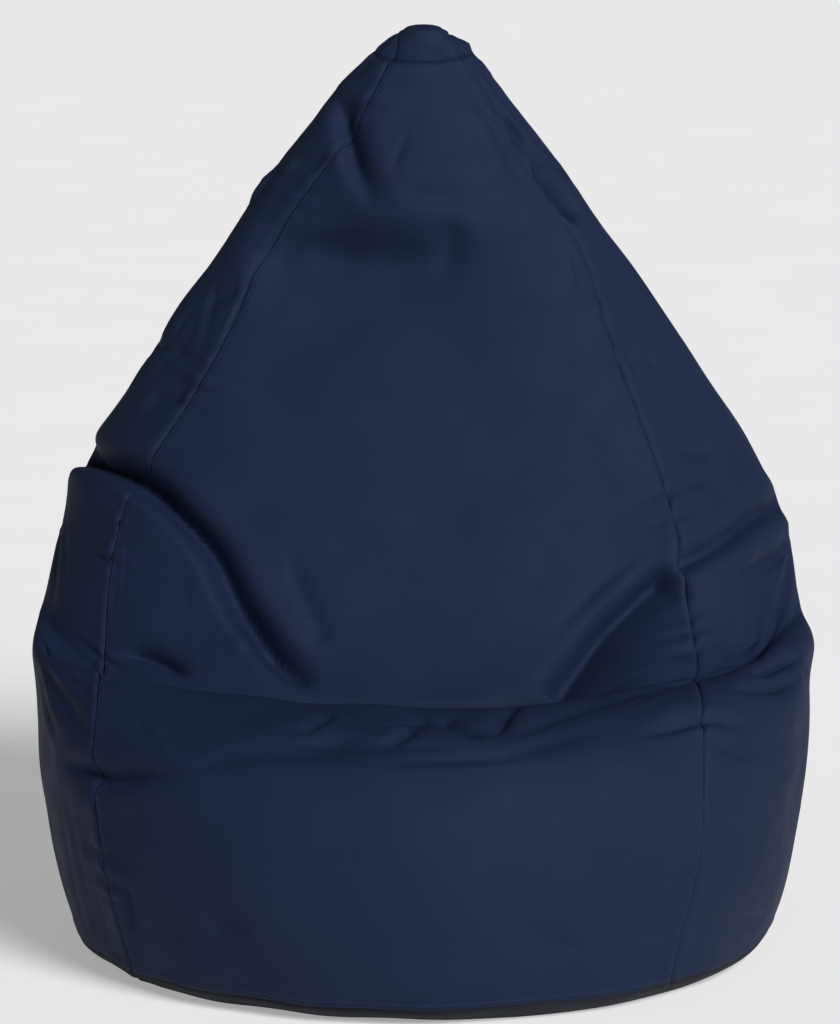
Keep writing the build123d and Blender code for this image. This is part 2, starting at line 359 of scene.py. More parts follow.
def swell(points, out, centre, radii, height):
    """Raises a soft round bulge, or presses a hollow if height is below 0. Its sizes are in millimetres."""
    gap = (points - np.array(centre) * MM) / (np.array(radii) * MM)
    lift = height * MM * np.exp(-(gap**2).sum(axis=-1))
    return points + out * lift[..., None]


def ripples(places, size, seed, count=30):
    """A smooth random field with a spread of 1, whose bumps are about size apart."""
    draw = np.random.default_rng(seed)
    field = np.zeros(places.shape[:-1])
    for _ in range(count):
        way = unit(draw.normal(size=places.shape[-1]))
        rate = 2 * np.pi / size * draw.uniform(0.55, 1.45)
        field += np.cos(places @ way * rate + draw.uniform(0, 2 * np.pi))
    return field / math.sqrt(count / 2)


# ---- seams ----
def seam_distances(points, spans):
    """Each point's distance over the cloth to its panel's first and last seam, as two grids."""
    steps = np.linalg.norm(np.roll(points, -1, axis=1) - points, axis=2)
    to_first = np.empty(steps.shape)
    to_last = np.empty(steps.shape)
    for start, end in spans.values():
        reach = np.concatenate([np.zeros((len(points), 1)), np.cumsum(steps[:, start:end], axis=1)], axis=1)
        to_first[:, start:end] = reach[:, :-1]
        to_last[:, start:end] = reach[:, -1:] - reach[:, :-1]
    return to_first, to_last


def seam_wave(length, seed):
    """The height of a seam's puckers along it: short waves that come and go."""
    places = length[:, None]
    waves = ripples(places, 0.030, seed, 12) + 0.6 * ripples(places, 0.017, seed + 50, 12)
    return waves * np.clip(0.55 + 0.75 * ripples(places, 0.16, seed + 100, 8), 0.05, 1.8)


def sewn(points, out, spans):
    """Draws the grid in along its seams and gathers the cloth beside them into small puckers."""
    to_first, to_last = seam_distances(points, spans)
    lift = np.zeros(points.shape[:2])
    starts = [start for start, _ in spans.values()]
    for i, (start, end) in enumerate(spans.values()):
        for seam, away in ((start, to_first), (starts[(i + 1) % len(starts)], to_last)):
            wave = seam_wave(walked(points[:, seam]), SEAM_SEED + seam)[:, None]
            distance = away[:, start:end]
            gather = np.exp(-distance / PUCKER_REACH) * (1 - np.exp(-distance / PUCKER_START))
            groove = np.exp(-((distance / SEAM_WIDTH) ** 2))
            allowance = np.exp(-(((distance - ALLOWANCE_MIDDLE) / ALLOWANCE_SPREAD) ** 2))
            lift[:, start:end] += PUCKER_HEIGHT * wave * gather - SEAM_DEPTH * groove
            lift[:, start:end] += ALLOWANCE_HEIGHT * allowance
    rows = np.arange(len(points))
    above = np.clip((rows - BASE_ROWS) / RELIEF_FADE_ROWS, 0, 1)
    inside = above * np.clip((len(points) - TIP_ROWS - rows) / RELIEF_FADE_ROWS, 0, 1)
    lift = lift * inside[:, None]
    for row in (low_row, high_row):
        reach = walked(points[:, MIDDLE_COLUMN])
        reach = np.abs(reach - reach[row])[:, None]
        lift -= SEAM_DEPTH * np.exp(-((reach / SEAM_WIDTH) ** 2))
    return points + out * lift[..., None]


# ---- meshes ----
def mesh_from(name, vertices, faces, uvs=None, wear_and_highlight=None):
    """A new smooth-shaded object in the scene, with a uv in metres and a value for each vertex that pales the
    cloth, standing for rubbed wear and a painted highlight.
    """
    mesh = bpy.data.meshes.new(name)
    mesh.from_pydata(np.asarray(vertices).tolist(), [], faces if isinstance(faces, list) else faces.tolist())
    corners = np.empty(len(mesh.loops), int)
    mesh.loops.foreach_get("vertex_index", corners)
    if uvs is not None:
        layer = mesh.uv_layers.new(name="weave")
        layer.data.foreach_set("uv", np.asarray(uvs, np.float32)[corners].ravel())
    if wear_and_highlight is not None:
        attribute = mesh.attributes.new("wear_and_highlight", "FLOAT", "POINT")
        attribute.data.foreach_set("value", np.asarray(wear_and_highlight, np.float32).ravel())
    mesh.polygons.foreach_set("use_smooth", [True] * len(mesh.polygons))
    mesh.validate()
    piece = bpy.data.objects.new(name, mesh)
    bpy.context.scene.collection.objects.link(piece)
    return piece


def quads(rows, columns, offset=0, flip=False, wrap=False):
    """The faces of a grid of vertices, as an array of four indices each."""
    index = offset + np.arange(rows * columns).reshape(rows, columns)
    if wrap:
        index = np.concatenate([index, index[:, :1]], axis=1)
    faces = np.stack([index[:-1, :-1], index[:-1, 1:], index[1:, 1:], index[1:, :-1]], axis=-1)
    faces = faces.reshape(-1, 4)
    return faces[:, ::-1] if flip else faces


def capped(grid):
    """(vertices, faces) of a grid that goes all the way round, with a point in the middle of each end."""
    rows, columns = grid.shape[:2]
    count = rows * columns
    vertices = np.concatenate([grid.reshape(-1, 3), grid[0].mean(axis=0)[None], grid[-1].mean(axis=0)[None]])
    bottom = np.arange(columns)
    top = bottom + count - columns
    faces = quads(rows, columns, wrap=True).tolist()
    faces += [[count, int(b), int(a)] for a, b in zip(bottom, np.roll(bottom, -1))]
    faces += [[count + 1, int(a), int(b)] for a, b in zip(top, np.roll(top, -1))]
    return vertices, faces


def lengths(points):
    """Distances along the columns and up the rows, for each point of a grid."""
    across = np.linalg.norm(np.diff(points, axis=1), axis=2)
    across = np.concatenate([np.zeros((len(points), 1)), np.cumsum(across, axis=1)], axis=1)
    across -= across[:, across.shape[1] // 2][:, None]
    up = walked(points[:, points.shape[1] // 2])
    return np.stack([across, np.repeat(up[:, None], points.shape[1], axis=1)], axis=-1).reshape(-1, 2)


def cloth_shell(name, outer, normals, thickness, wear_and_highlight=None, around=False):
    """A closed thin shell from a stretch of the grid, which may go all the way round the bag."""
    rows, columns = outer.shape[:2]
    count = rows * columns
    vertices = np.concatenate([outer.reshape(-1, 3), (outer - normals * thickness).reshape(-1, 3)])
    index = np.arange(count).reshape(rows, columns)
    if around:
        edges = [index[0], index[-1][::-1]]
        uv = vertices[:, :2]
    else:
        edges = [np.concatenate([index[0, :-1], index[:-1, -1], index[-1, :0:-1], index[:0:-1, 0]])]
        uv = np.tile(lengths(outer), (2, 1))
    faces = [quads(rows, columns, wrap=around), quads(rows, columns, count, flip=True, wrap=around)]
    for edge in edges:
        after = np.roll(edge, -1)
        faces.append(np.stack([edge, edge + count, after + count, after], axis=-1))
    worn_and_lit = None if wear_and_highlight is None else np.tile(wear_and_highlight.ravel(), 2)
    return mesh_from(name, vertices, np.concatenate(faces), uv, worn_and_lit)


# ---- materials ----
def add(tree, kind, *inputs, **settings):
    """A new node, with each input linked or set in turn, and its first output."""
    node = tree.nodes.new("ShaderNode" + kind)
    for key, value in settings.items():
        setattr(node, key, value)
    for slot, value in zip(node.inputs, inputs):
        if isinstance(value, bpy.types.NodeSocket):
            tree.links.new(value, slot)
        elif value is not None:
            slot.default_value = value
    return node.outputs[0]


def maths(tree, operation, *inputs):
    """The result of one maths node."""
    return add(tree, "Math", *inputs, operation=operation)


def spread(tree, value, low, high, to_low, to_high):
    """A value mapped from one range to another, and held inside it."""
    return add(tree, "MapRange", value, low, high, to_low, to_high)


def tinted(tree, share, first, second):
    """A mix of two colours, each a socket or three numbers."""
    node = tree.nodes.new("ShaderNodeMix")
    node.data_type = "RGBA"
    tree.links.new(share, node.inputs["Factor"])
    for slot, colour in (("A", first), ("B", second)):
        socket = [i for i in node.inputs if i.name == slot and i.type == "RGBA"][0]
        if isinstance(colour, bpy.types.NodeSocket):
            tree.links.new(colour, socket)
        else:
            socket.default_value = (*colour, 1)
    return [o for o in node.outputs if o.type == "RGBA"][0]


def noise_at(tree, place, scale, detail=2.0, roughness=0.5):
    """A noise texture's value, with a scale in bumps per metre."""
    node = tree.nodes.new("ShaderNodeTexNoise")
    tree.links.new(place, node.inputs["Vector"])
    node.inputs["Scale"].default_value = scale
    node.inputs["Detail"].default_value = detail
    node.inputs["Roughness"].default_value = roughness
    return node.outputs["Fac"]


def new_material(name, roughness, specular, metallic=0.0):
    """(material, node tree, shader) with the plain numbers set."""
    made = bpy.data.materials.new(name)
    made.use_nodes = True
    tree = made.node_tree
    shader = tree.nodes["Principled BSDF"]
    shader.inputs["Roughness"].default_value = roughness
    shader.inputs["Specular IOR Level"].default_value = specular
    shader.inputs["Metallic"].default_value = metallic
    return made, tree, shader


def plain_weave(tree, pitch):
    """The height, from 0 to 1, of threads that pass over and under each other along the cloth's uv."""
    place = tree.nodes.new("ShaderNodeUVMap")
    place.uv_map = "weave"
    parts = tree.nodes.new("ShaderNodeSeparateXYZ")
    tree.links.new(place.outputs[0], parts.inputs[0])
    across = maths(tree, "SINE", maths(tree, "MULTIPLY", parts.outputs[0], math.pi / pitch))
    along = maths(tree, "SINE", maths(tree, "MULTIPLY", parts.outputs[1], math.pi / pitch))
    over = spread(tree, maths(tree, "MULTIPLY", across, along), -0.35, 0.35, 0.0, 1.0)
    under = maths(tree, "SUBTRACT", 1.0, over)
    warp = maths(tree, "MULTIPLY", maths(tree, "ABSOLUTE", across), over)
    weft = maths(tree, "MULTIPLY", maths(tree, "ABSOLUTE", along), under)
    return maths(tree, "MAXIMUM", warp, weft)


def relief(tree, height, strength, distance):
    """Sets a relief on the tree's shader."""
    bump = tree.nodes.new("ShaderNodeBump")
    bump.inputs["Strength"].default_value = strength
    bump.inputs["Distance"].default_value = distance
    tree.links.new(height, bump.inputs["Height"])
    tree.links.new(bump.outputs[0], tree.nodes["Principled BSDF"].inputs["Normal"])


def cloth_material(name, dark, light, worn_and_lit, pitch, bump, roughness, specular):
    """Woven cloth: thread relief, uneven dye, slubs, and seams made paler, partly as rubbed wear and partly
    as a painted highlight on their ridges.
    """
    made, tree, shader = new_material(name, roughness, specular)
    place = tree.nodes.new("ShaderNodeTexCoord").outputs["Object"]
    threads = plain_weave(tree, pitch)
    clouds = noise_at(tree, place, 7, 3)
    slubs = noise_at(tree, place, 900, 2)
    colour = tinted(tree, spread(tree, clouds, 0.3, 0.7, 0.0, 1.0), dark, light)
    slub_shade = spread(tree, slubs, 0.3, 0.7, 0.84, 0.96)
    shade = maths(tree, "ADD", maths(tree, "MULTIPLY", threads, 0.16), slub_shade)
    colour = tinted(tree, shade, (0, 0, 0), colour)
    # Near the seams the colour is mixed towards a paler one: partly rubbed wear, partly a painted highlight
    # on the seam ridges.
    rubbed_and_lit = tree.nodes.new("ShaderNodeAttribute")
    rubbed_and_lit.attribute_name = "wear_and_highlight"
    patches = spread(tree, noise_at(tree, place, 60, 4), 0.35, 0.75, 0, 0.8)
    colour = tinted(tree, maths(tree, "MULTIPLY", rubbed_and_lit.outputs["Fac"], patches), colour, worn_and_lit)
    tree.links.new(colour, shader.inputs["Base Color"])
    rough = spread(tree, noise_at(tree, place, 30, 3), 0.3, 0.7, roughness - 0.06, roughness + 0.06)
    tree.links.new(rough, shader.inputs["Roughness"])
    creases = maths(tree, "MULTIPLY", noise_at(tree, place, 140, 4, 0.6), 2.0)
    height = maths(tree, "ADD", maths(tree, "ADD", threads, creases), maths(tree, "MULTIPLY", slubs, 0.5))
    relief(tree, height, bump, 0.00015)
    return made


def speckled_material(name, dark, light, scale, roughness, specular, bump, metallic=0.0, cells=False):
    """A solid material with uneven colour and gloss and a fine relief, of noise or of round cells."""
    made, tree, shader = new_material(name, roughness, specular, metallic)
    place = tree.nodes.new("ShaderNodeTexCoord").outputs["Object"]
    if cells:
        node = tree.nodes.new("ShaderNodeTexVoronoi")
        tree.links.new(place, node.inputs["Vector"])
        node.inputs["Scale"].default_value = scale
        grain = spread(tree, node.outputs["Distance"], 0.0, 0.75, 1.0, 0.0)
    else:
        grain = noise_at(tree, place, scale, 4, 0.6)
    colour = tinted(tree, spread(tree, grain, 0.3, 0.7, 0.0, 1.0), dark, light)
    tree.links.new(colour, shader.inputs["Base Color"])
    rough = spread(tree, noise_at(tree, place, scale / 3, 3), 0.3, 0.7, roughness - 0.08, roughness + 0.08)
    tree.links.new(rough, shader.inputs["Roughness"])
    relief(tree, grain, bump, 0.0003)
    return made


# Each cloth: its dark, light and worn colours, its threads' pitch, its relief, roughness and gloss. The worn
# colour, painted by the seams, also stands in for a highlight on their ridges.
PALE_WORN_AND_LIT = (0.5, 0.5, 0.48)
NAVY_DEEP = (0.0097, 0.0167, 0.0435)
NAVY = (0.0106, 0.0183, 0.0475)
cover_cloth = cloth_material("navy_cloth", NAVY_DEEP, NAVY, (0.030, 0.042, 0.085), 0.0009, 0.25, 0.68, 0.08)
base_cloth = cloth_material(
    "base_cloth", (0.008, 0.010, 0.016), (0.012, 0.014, 0.022), (0.03, 0.03, 0.035), 0.0014, 0.5, 0.85, 0.2
)
liner_cloth = cloth_material(
    "liner_cloth", (0.62, 0.62, 0.60), (0.74, 0.74, 0.71), PALE_WORN_AND_LIT, 0.0016, 0.4, 0.9, 0.2
)
tape_cloth = cloth_material(
    "navy_tape", (0.010, 0.014, 0.030), (0.014, 0.020, 0.042), (0.03, 0.04, 0.07), 0.0006, 0.6, 0.75, 0.2
)
liner_tape = cloth_material(
    "pale_tape", (0.55, 0.55, 0.53), (0.66, 0.66, 0.63), PALE_WORN_AND_LIT, 0.0006, 0.6, 0.8, 0.2
)
# Each solid: its dark and light colours, its grain per metre, its roughness, gloss and relief.
thread = speckled_material("navy_thread", (0.012, 0.020, 0.052), (0.020, 0.030, 0.070), 1500, 0.6, 0.25, 0.3)
coil_nylon = speckled_material("navy_nylon", (0.008, 0.011, 0.024), (0.013, 0.018, 0.036), 700, 0.5, 0.2, 0.2)
pale_nylon = speckled_material("pale_nylon", (0.60, 0.60, 0.57), (0.72, 0.72, 0.69), 700, 0.4, 0.5, 0.2)
painted_metal = speckled_material(
    "painted_metal", (0.012, 0.014, 0.022), (0.030, 0.034, 0.046), 420, 0.36, 0.6, 0.35
)
bare_metal = speckled_material(
    "bare_metal", (0.42, 0.42, 0.43), (0.58, 0.58, 0.59), 420, 0.34, 0.5, 0.3, metallic=1.0
)
beads = speckled_material(
    "foam_beads", (0.60, 0.60, 0.58), (0.86, 0.86, 0.84), 240, 0.8, 0.3, 1.0, cells=True
)

# ---- the folds, as the photograph shows them at the front, and guessed at the back ----
# Each swell: its centre and radii, and how high it rises, in millimetres.
SWELLS = [
    # The arm rests, between the folds.
    ((-290, 20, 360), (70, 120, 60), 10),
    ((300, 20, 330), (70, 120, 50), 8),
    # The right end of the seat, level with the rolled edge.
    ((235, -75, 264), (60, 40, 22), 10),
    ((352, 10, 285), (42, 60, 22), 8),
    # The headrest, and the dips of the neck under it.
    ((0, 105, 742), (70, 80, 48), 15),
    ((-150, 115, 652), (24, 50, 36), -8),
    ((-88, 92, 670), (26, 60, 24), -9),
    ((25, 84, 676), (15, 60, 30), -10),
]
ARM_LINE = [
    (-358, 215, 447), (-350, 178, 450), (-326, 122, 450), (-301, 87, 446), (-276, 58, 437), (-236, 17, 409),
    (-201, -12, 373), (-184, -32, 341), (-163, -50, 311), (-138, -70, 283), (-103, -90, 262),
]
FOLDS = [
    # The deep pinch at the left end of the seat crease.
    Stroke(
        [
            (-383, 46, 299), (-353, -18, 295), (-321, -50, 285), (-290, -86, 274), (-240, -101, 263),
            (-180, -112, 254),
        ],
        6, (12, 12), ends=(0.3, 0.4), sharp=2, power=1.5,
    ),
    # The seat crease, where the backrest comes down behind the rolled front edge.
    Stroke(
        [
            (-383, 44, 290), (-353, -22, 286), (-321, -54, 276), (-290, -90, 264), (-240, -105, 256),
            (-180, -118, 252), (-100, -116, 251), (0, -115, 250), (80, -112, 251), (140, -100, 256),
            (205, -84, 264), (269, -61, 270), (300, -45, 273),
        ],
        13, (9, 12), lips=(2, 2), ends=(0.1, 0.5), sharp=1.5,
    ),
    Stroke(
        [(-200, -114, 253), (-100, -116, 251), (0, -115, 250), (80, -112, 251), (150, -98, 258)],
        7, (5, 6), ends=(0.1, 0.1), sharp=1.5, power=1.5,
    ),
    Stroke(
        [(40, -112, 251), (85, -110, 252), (115, -104, 256), (150, -96, 260)],
        14, (12, 10), lips=(2, 3), ends=(0.5, 0.5), sharp=2,
    ),
    # The left arm's fold, from the side down to the seat crease.
    Stroke(ARM_LINE, 28, (11, 8), lips=(2, 8), ends=(0.05, 0.12), sharp=2, power=1.4),
    Stroke(ARM_LINE, 8, (9, 7), ends=(0.03, 0.2), sharp=1.5, power=2.0),
    Stroke(
        [
            (-236, 17, 409), (-201, -12, 373), (-184, -32, 341), (-163, -50, 311), (-138, -70, 283),
            (-98, -94, 258),
        ],
        8, (13, 10), lips=(1, 2), ends=(0.5, 0.12), sharp=2, power=1.5,
    ),
    # The soft valley beside it, and the ridge between them.
    Stroke(
        [(-134, 1, 405), (-125, -21, 359), (-114, -36, 331), (-101, -51, 306), (-99, -64, 287)],
        7, (10, 18), lips=(1, 4), ends=(0.5, 0.15), sharp=4,
    ),
    # The right arm's crease, from the side to the front seam.
    Stroke(
        [(372, 190, 402), (361, 164, 400), (325, 77, 397), (298, 41, 384), (272, 17, 373), (240, -6, 360)],
        17, (8, 8), lips=(4, 3), ends=(0.15, 0.08), sharp=2,
    ),
    Stroke([(299, 50, 398), (321, 80, 408), (352, 130, 410)], 5, (6, 10)),
    # The dark fold from the front seam down to the seat crease, the ridge above it and the valley above that.
    Stroke(
        [(250, -2, 362), (228, -14, 353), (203, -29, 335), (176, -46, 315), (150, -68, 288), (118, -98, 258)],
        31, (32, 9), lips=(8, 2), ends=(0.14, 0.1), sharp=1.5, power=1.2,
    ),
    Stroke(
        [(246, 8, 388), (203, -9, 372), (166, -28, 347), (134, -48, 316), (104, -70, 285)],
        10, (12, 20), lips=(2, 2), ends=(0.4, 0.5), sharp=4,
    ),
    # The fold above the seat crease on the left arm.
    Stroke(
        [(-300, -36, 283), (-269, -48, 285), (-244, -64, 278), (-218, -80, 266)],
        15, (9, 7), lips=(2, 3), ends=(0.35, 0.35), sharp=2,
    ),
    # The left seam's pull, under the arm.
    Stroke(
        [
            (-345, -150, 200), (-317, -197, 205), (-293, -229, 205), (-270, -250, 212), (-245, -271, 218),
            (-215, -295, 212),
        ],
        14, (10, 10), lips=(3, 3), sharp=2,
    ),
    # The folds of the right side, over and under the arm.
    Stroke(
        [(282, 10, 356), (312, 29, 347), (334, 57, 352), (370, 118, 360)],
        11, (8, 14), lips=(3, 2), ends=(0.3, 0.1),
    ),
    Stroke(
        [(272, -52, 276), (288, -42, 281), (320, -14, 288), (358, 10, 287)],
        6, (9, 8), lips=(2, 2), ends=(0.45, 0.45), sharp=2,
    ),
    Stroke(
        [(300, -130, 274), (320, -112, 277), (338, -86, 280), (372, -30, 279)],
        11, (8, 7), lips=(2, 3), ends=(0.4, 0.3), sharp=2,
    ),
    Stroke(
        [(285, -170, 268), (305, -150, 268), (330, -125, 266), (366, -65, 266)],
        11, (8, 7), lips=(2, 3), ends=(0.4, 0.3), sharp=2,
    ),
    Stroke(
        [(186, -280, 250), (209, -262, 257), (259, -222, 258), (297, -199, 246), (322, -178, 232)],
        9, (7, 9), lips=(2, 2),
    ),
    Stroke([(250, -240, 247), (281, -229, 233), (323, -184, 215)], 8, (7, 9), lips=(2, 2)),
    # The three small puckers under the seat crease.
    Stroke([(-83, -236, 267), (-100, -270, 264), (-119, -291, 257)], 10, (4, 12), ends=(0.3, 0.4), sharp=2),
    Stroke([(-119, -293, 256), (-86, -300, 256), (-57, -304, 256)], 8, (10, 4), sharp=2),
    Stroke([(7, -239, 267), (-17, -260, 267), (-44, -278, 264)], 11, (4, 10), ends=(0.2, 0.4), sharp=2),
    Stroke(
        [(7, -239, 267), (-13, -284, 263), (-30, -307, 256), (-47, -314, 252)],
        11, (8, 4), ends=(0.3, 0.4), sharp=2,
    ),
    Stroke([(13, -239, 266), (30, -279, 264), (57, -304, 256)], 13, (10, 4), ends=(0.2, 0.3), sharp=2),
    Stroke([(84, -200, 262), (70, -270, 265), (57, -304, 256)], 13, (4, 10), ends=(0.3, 0.3), sharp=2),
    # The neck, where the head tips forward over the back rest.
    Stroke(
        [
            (-185, 134, 660), (-150, 112, 655), (-100, 92, 650), (-50, 84, 646), (0, 80, 643), (50, 83, 644),
            (110, 100, 650),
        ],
        28, (28, 60), ends=(0.3, 0.5), sharp=8, power=2.0,
    ),
    # The hood's fold, and the facet beside the left seam.
    Stroke(
        [(-82, 172, 806), (-80, 137, 788), (-74, 125, 767), (-66, 117, 745), (-54, 106, 722), (-42, 97, 698)],
        16, (14, 7), lips=(2, 3), ends=(0.3, 0.4), sharp=2, power=1.4,
    ),
    Stroke(
        [(-138, 168, 746), (-113, 136, 748), (-82, 122, 752)],
        10, (8, 22), lips=(2, 1), ends=(0.4, 0.3), sharp=2,
    ),
    Stroke([(-150, 192, 742), (-164, 190, 722), (-180, 190, 698)], -9, (22, 22), sharp=6, power=2.0),
    # The cap's dent.
    Stroke(
        [(-52, 165, 846), (-27, 147, 850), (3, 143, 852), (34, 147, 851)],
        10, (14, 6), ends=(0.3, 0.3), power=1.5,
    ),
    # The dents at the right seam.
    Stroke(
        [(110, 128, 742), (128, 128, 715), (152, 127, 684)],
        17, (17, 5), lips=(2, 4), ends=(0.25, 0.25), sharp=2, power=1.3,
    ),
    Stroke([(104, 125, 737), (118, 137, 741), (132, 180, 738)], 9, (5, 12), ends=(0.2, 0.3), sharp=2),
    Stroke([(74, 134, 789), (89, 138, 781), (104, 145, 773)], 6, (5, 8), ends=(0.3, 0.3), sharp=2),
    Stroke([(84, 144, 796), (91, 135, 773), (99, 128, 749)], 6, (10, 6), ends=(0.3, 0.3), sharp=2),
    # The puckers of both sides, beside the back rest.
    Stroke(
        [(-280, 130, 505), (-266, 112, 513), (-247, 99, 518), (-221, 90, 531)],
        9, (10, 9), ends=(0.3, 0.4),
    ),
    Stroke([(-275, 196, 562), (-237, 120, 560), (-212, 105, 567)], 10, (10, 8), ends=(0.2, 0.4)),
    Stroke([(-174, 118, 637), (-187, 108, 603), (-201, 99, 569)], 7, (10, 6), ends=(0.3, 0.3), sharp=2),
    Stroke([(-222, 140, 608), (-203, 126, 615), (-180, 117, 628)], 8, (7, 10), ends=(0.3, 0.3), sharp=2),
    Stroke([(196, 82, 541), (222, 92, 556), (244, 120, 552)], 6, (7, 9), ends=(0.3, 0.3)),
    Stroke([(249, 66, 462), (276, 84, 466), (300, 106, 474)], 7, (8, 8)),
    Stroke([(250, 47, 432), (275, 66, 437), (304, 92, 447)], 6, (8, 8)),
    # The creases over the base.
    Stroke([(130, -356, 92), (200, -316, 80), (288, -230, 70)], 6, (8, 14), ends=(0.5, 0.5)),
    Stroke([(-206, -311, 84), (-182, -328, 88), (-154, -343, 92)], 5, (8, 10)),
    Stroke([(-276, -254, 117), (-272, -252, 88), (-271, -242, 55)], 6, (8, 8)),
    Stroke([(258, -264, 76), (298, -207, 59), (345, -70, 45)], 6, (7, 10)),
    Stroke([(93, -361, 73), (121, -354, 76), (154, -336, 65)], 4, (6, 9)),
    Stroke([(-330, 150, 60), (-345, 60, 52), (-350, -40, 56)], 5, (14, 8)),
    Stroke([(330, 170, 64), (345, 80, 56), (350, -20, 60)], 5, (8, 14)),
    Stroke([(-150, 352, 58), (-60, 370, 50), (30, 372, 52)], 5, (8, 14)),
    Stroke([(70, 370, 60), (150, 350, 56), (215, 318, 60)], 4, (8, 12)),
    # The arms' folds, carried round to the back.
    Stroke(
        [(-340, 235, 436), (-300, 290, 425), (-250, 322, 405)],
        10, (10, 14), lips=(2, 2), ends=(0.3, 0.6),
    ),
    Stroke([(345, 225, 400), (305, 280, 392), (262, 312, 372)], 9, (14, 10), lips=(2, 2), ends=(0.3, 0.6)),
    Stroke(
        [(-371, 140, 299), (-352, 200, 306), (-318, 256, 316)],
        8, (10, 12), lips=(2, 2), ends=(0.15, 0.5),
    ),
    Stroke([(370, 145, 298), (352, 200, 308), (320, 255, 322)], 8, (10, 12), lips=(2, 2), ends=(0.3, 0.5)),
    # The soft drags of the back panels, from their outer seams.
    Stroke([(-255, 330, 330), (-190, 362, 312), (-120, 378, 318)], 7, (10, 16), lips=(2, 1), ends=(0.3, 0.6)),
    Stroke([(250, 335, 296), (185, 365, 280), (110, 380, 288)], 7, (16, 10), lips=(1, 2), ends=(0.3, 0.6)),
    Stroke([(-232, 312, 440), (-170, 336, 456), (-100, 344, 482)], 6, (10, 14), lips=(1, 1), ends=(0.3, 0.6)),
    Stroke([(215, 312, 478), (150, 330, 496), (90, 336, 520)], 6, (14, 10), lips=(1, 1), ends=(0.3, 0.6)),
    Stroke([(-90, 385, 130), (-160, 370, 118), (-240, 335, 124)], 5, (14, 10), ends=(0.5, 0.3)),
    Stroke([(95, 384, 104), (170, 366, 94), (245, 330, 102)], 5, (10, 14), ends=(0.5, 0.3)),
    Stroke([(-120, 262, 690), (-70, 268, 668), (-20, 268, 660)], 5, (12, 10), ends=(0.3, 0.6)),
    Stroke([(112, 258, 720), (66, 262, 704), (20, 262, 700)], 5, (10, 12), ends=(0.3, 0.6)),
]


# ---- the whole cover ----
def zip_nearness(points, x_reach, fade):
    """1 on the strip of the back that the cover's zip takes, falling to 0 past its edges."""
    beside = np.clip((x_reach + fade - np.abs(points[..., 0])) / fade, 0, 1)
    middle = BACK_ARC_Z * MM
    past = np.abs(points[..., 2] - middle) - ZIP_HALF_HEIGHT
    beyond = np.clip(1 - past / fade, 0, 1)
    behind = points[..., 1] > BACK_Y
    return smoothstep(beside * beyond * behind)[..., None]


def liner_zip_nearness(points, x_reach, fade):
    """zip_nearness for the liner's zip."""
    return zip_nearness(turned_about_liner(points, -LINER_ZIP_TURN), x_reach, fade)


def turned_about_liner(points, degrees):
    """Points turned about the vertical line that the liner's zip is turned about."""
    turn = math.radians(degrees)
    x, y = points[..., 0], points[..., 1] - LINER_TURN_Y * MM
    moved = points.copy()
    moved[..., 0] = x * math.cos(turn) - y * math.sin(turn)
    moved[..., 1] = x * math.sin(turn) + y * math.cos(turn) + LINER_TURN_Y * MM
    return moved


# The strips that the zips take, as half their width and the width over which they fade, in metres.
FLAT_STRIP = (0.018, 0.016)
HEM_STRIP = (0.014, 0.010)
COVERED_STRIP = (0.024, 0.016)
FILL_STRIP = (0.020, 0.010)
BACK_Y = 0.2

# The cloth simulation.
SETTLE_FRAMES = 24
SETTLE_LIMIT = 0.014
PINNED_DEPTH = 12
CLOTH_SETTINGS = {
    "quality": 5,
    "mass": 0.3,
    "tension_stiffness": 20,
    "compression_stiffness": 20,
    "shear_stiffness": 8,
    "bending_stiffness": 1.5,
    "tension_damping": 10,
    "compression_damping": 10,
    "shear_damping": 10,
    "bending_damping": 1,
    "air_damping": 3,
    "use_pressure": True,
    "uniform_pressure_force": 3,
    "vertex_group_mass": "pin",
    "pin_stiffness": 1,
    "vertex_group_shrink": "slack",
    "shrink_min": 0.01,
    "shrink_max": -0.05,
}


def held_still(coarse, seam_gap):
    """How firmly each point is held while the cover settles, from 0 to 1."""
    pins = [
        np.clip((0.03 - coarse[..., 2]) / 0.02, 0, 1),
        np.clip((coarse[..., 2] - 0.85) / 0.015, 0, 1),
        zip_nearness(coarse, *FLAT_STRIP)[..., 0],
        liner_zip_nearness(coarse, *FLAT_STRIP)[..., 0],
        0.25 * np.exp(-((seam_gap / 0.006) ** 2)),
    ]
    for stroke in FOLDS:
        if stroke.depth >= PINNED_DEPTH:
            gap = np.full(coarse.shape[:2], np.inf)
            for place in path_through(stroke.line, 60):
                gap = np.minimum(gap, np.linalg.norm(coarse - place, axis=2))
            past = np.maximum(gap - stroke.depth * MM, 0)
            pins.append(0.9 * np.exp(-((past / 0.012) ** 2)))
    return np.max(pins, axis=0)


